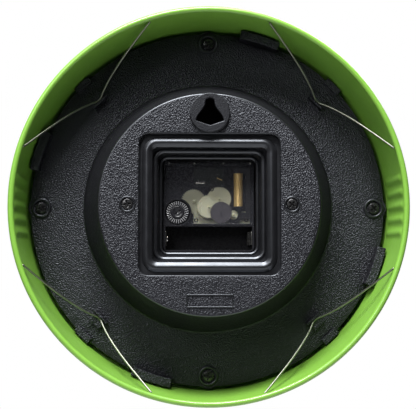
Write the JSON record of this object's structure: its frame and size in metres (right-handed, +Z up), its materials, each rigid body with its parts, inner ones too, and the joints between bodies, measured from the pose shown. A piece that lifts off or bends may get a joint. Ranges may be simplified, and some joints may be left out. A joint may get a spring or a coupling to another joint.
{
  "type": "wall clock",
  "caption": "Round battery wall clock: lipped green metal case, grained back cover held by spring wires, square well with a see-through quartz movement, working gear train and hands.",
  "frame": {"origin": "the point where the nail bears at the top of the hanger's hole, on the wall plane; the clock's own axis is 64.3 mm below it", "axes": "+Z up, +Y out of the back towards the wall, the dial faces -Y"},
  "size_m": [0.2412, 0.0572, 0.2412],
  "materials": {
    "case_enamel": "gloss enamel on pressed steel",
    "lens_glass": "clear polished",
    "gasket_rubber": "matte",
    "spacer_plastic": "satin",
    "dial_enamel": "satin enamel",
    "dial_ink": "printed film",
    "cover_plastic": "leather-grained mould surface, glossy in the well",
    "hanger_plastic": "satin",
    "screw_black": "black oxide",
    "spring_steel": "drawn wire",
    "movement_black": "satin",
    "movement_smoke": "smoked clear",
    "gear_cream": "satin",
    "gear_dark": "satin",
    "bare_brass": "turned",
    "core_steel": "stamped sheet",
    "copper_wire": "enamelled winding wire",
    "board_laminate": "lacquered",
    "contact_steel": "nickel plated",
    "hand_black": "satin lacquer",
    "hand_red": "satin lacquer"
  },
  "bodies": {
    "case": {"case_ring": "case_enamel", "lens": "lens_glass", "lens_gasket": "gasket_rubber", "dial_spacer": "spacer_plastic", "dial_plate": "dial_enamel", "dial_print": "dial_ink", "back_cover": "cover_plastic", "wall_hanger": "hanger_plastic", "flange_screws": "screw_black", "cup_screws": "screw_black", "spring_wire_1": "spring_steel", "spring_wire_2": "spring_steel", "spring_wire_3": "spring_steel", "spring_wire_4": "spring_steel", "movement_bracket": "spacer_plastic", "movement_case": "movement_black", "movement_cover": "movement_smoke", "gear_plate": "gear_cream", "fixing_washer": "contact_steel", "fixing_nut": "bare_brass", "stator": "core_steel", "coil_core": "core_steel", "coil_bobbin": "gear_cream", "coil_winding": "copper_wire", "circuit_board": "board_laminate", "quartz_crystal": "contact_steel", "contact_positive": "contact_steel", "contact_negative": "contact_steel"},
    "second_body": {"second_wheel": "gear_cream", "second_hand": "hand_red"},
    "rotor_body": {"rotor": "gear_cream"},
    "fifth_body": {"fifth_wheel": "gear_dark"},
    "third_body": {"third_wheel": "gear_cream"},
    "centre_body": {"centre_wheel": "gear_cream"},
    "minute_body": {"cannon_pinion": "bare_brass", "minute_hand": "hand_black"},
    "minute_wheel_body": {"minute_wheel": "gear_cream"},
    "hour_body": {"hour_wheel": "gear_cream", "hour_hand": "hand_black"},
    "knob_body": {"set_knob": "movement_black"}
  },
  "joints": [
    {"name": "second_spin", "type": "hinge", "parent": "case", "child": "second_body", "pos_m": [0, -0.047, -0.0643], "axis": [0, 1, 0], "continuous": true},
    {"name": "rotor_spin", "type": "hinge", "parent": "case", "child": "rotor_body", "pos_m": [-0.01533, -0.026, -0.06921], "axis": [0, 1, 0], "continuous": true},
    {"name": "fifth_spin", "type": "hinge", "parent": "case", "child": "fifth_body", "pos_m": [-0.00761, -0.024, -0.06785], "axis": [0, 1, 0], "continuous": true},
    {"name": "third_spin", "type": "hinge", "parent": "case", "child": "third_body", "pos_m": [-0.00662, -0.026, -0.05913], "axis": [0, 1, 0], "continuous": true},
    {"name": "centre_spin", "type": "hinge", "parent": "case", "child": "centre_body", "pos_m": [0, -0.0275, -0.0643], "axis": [0, 1, 0], "continuous": true},
    {"name": "minute_spin", "type": "hinge", "parent": "case", "child": "minute_body", "pos_m": [0, -0.045, -0.0643], "axis": [0, 1, 0], "continuous": true},
    {"name": "minute_wheel_spin", "type": "hinge", "parent": "case", "child": "minute_wheel_body", "pos_m": [0.00931, -0.03, -0.06045], "axis": [0, 1, 0], "continuous": true},
    {"name": "hour_spin", "type": "hinge", "parent": "case", "child": "hour_body", "pos_m": [0, -0.043, -0.0643], "axis": [0, 1, 0], "continuous": true},
    {"name": "knob_spin", "type": "hinge", "parent": "case", "child": "knob_body", "pos_m": [0.0194, -0.022, -0.068], "axis": [0, 1, 0], "continuous": true}
  ],
  "couplings": [
    {"joint": "fifth_spin", "follows": "second_spin", "ratio": -5},
    {"joint": "rotor_spin", "follows": "second_spin", "ratio": 30},
    {"joint": "third_spin", "follows": "second_spin", "ratio": -0.125},
    {"joint": "centre_spin", "follows": "second_spin", "ratio": 0.016667},
    {"joint": "minute_wheel_spin", "follows": "minute_spin", "ratio": -0.33333},
    {"joint": "hour_spin", "follows": "minute_spin", "ratio": 0.083333},
    {"joint": "knob_spin", "follows": "minute_spin", "ratio": 0.5}
  ]
}
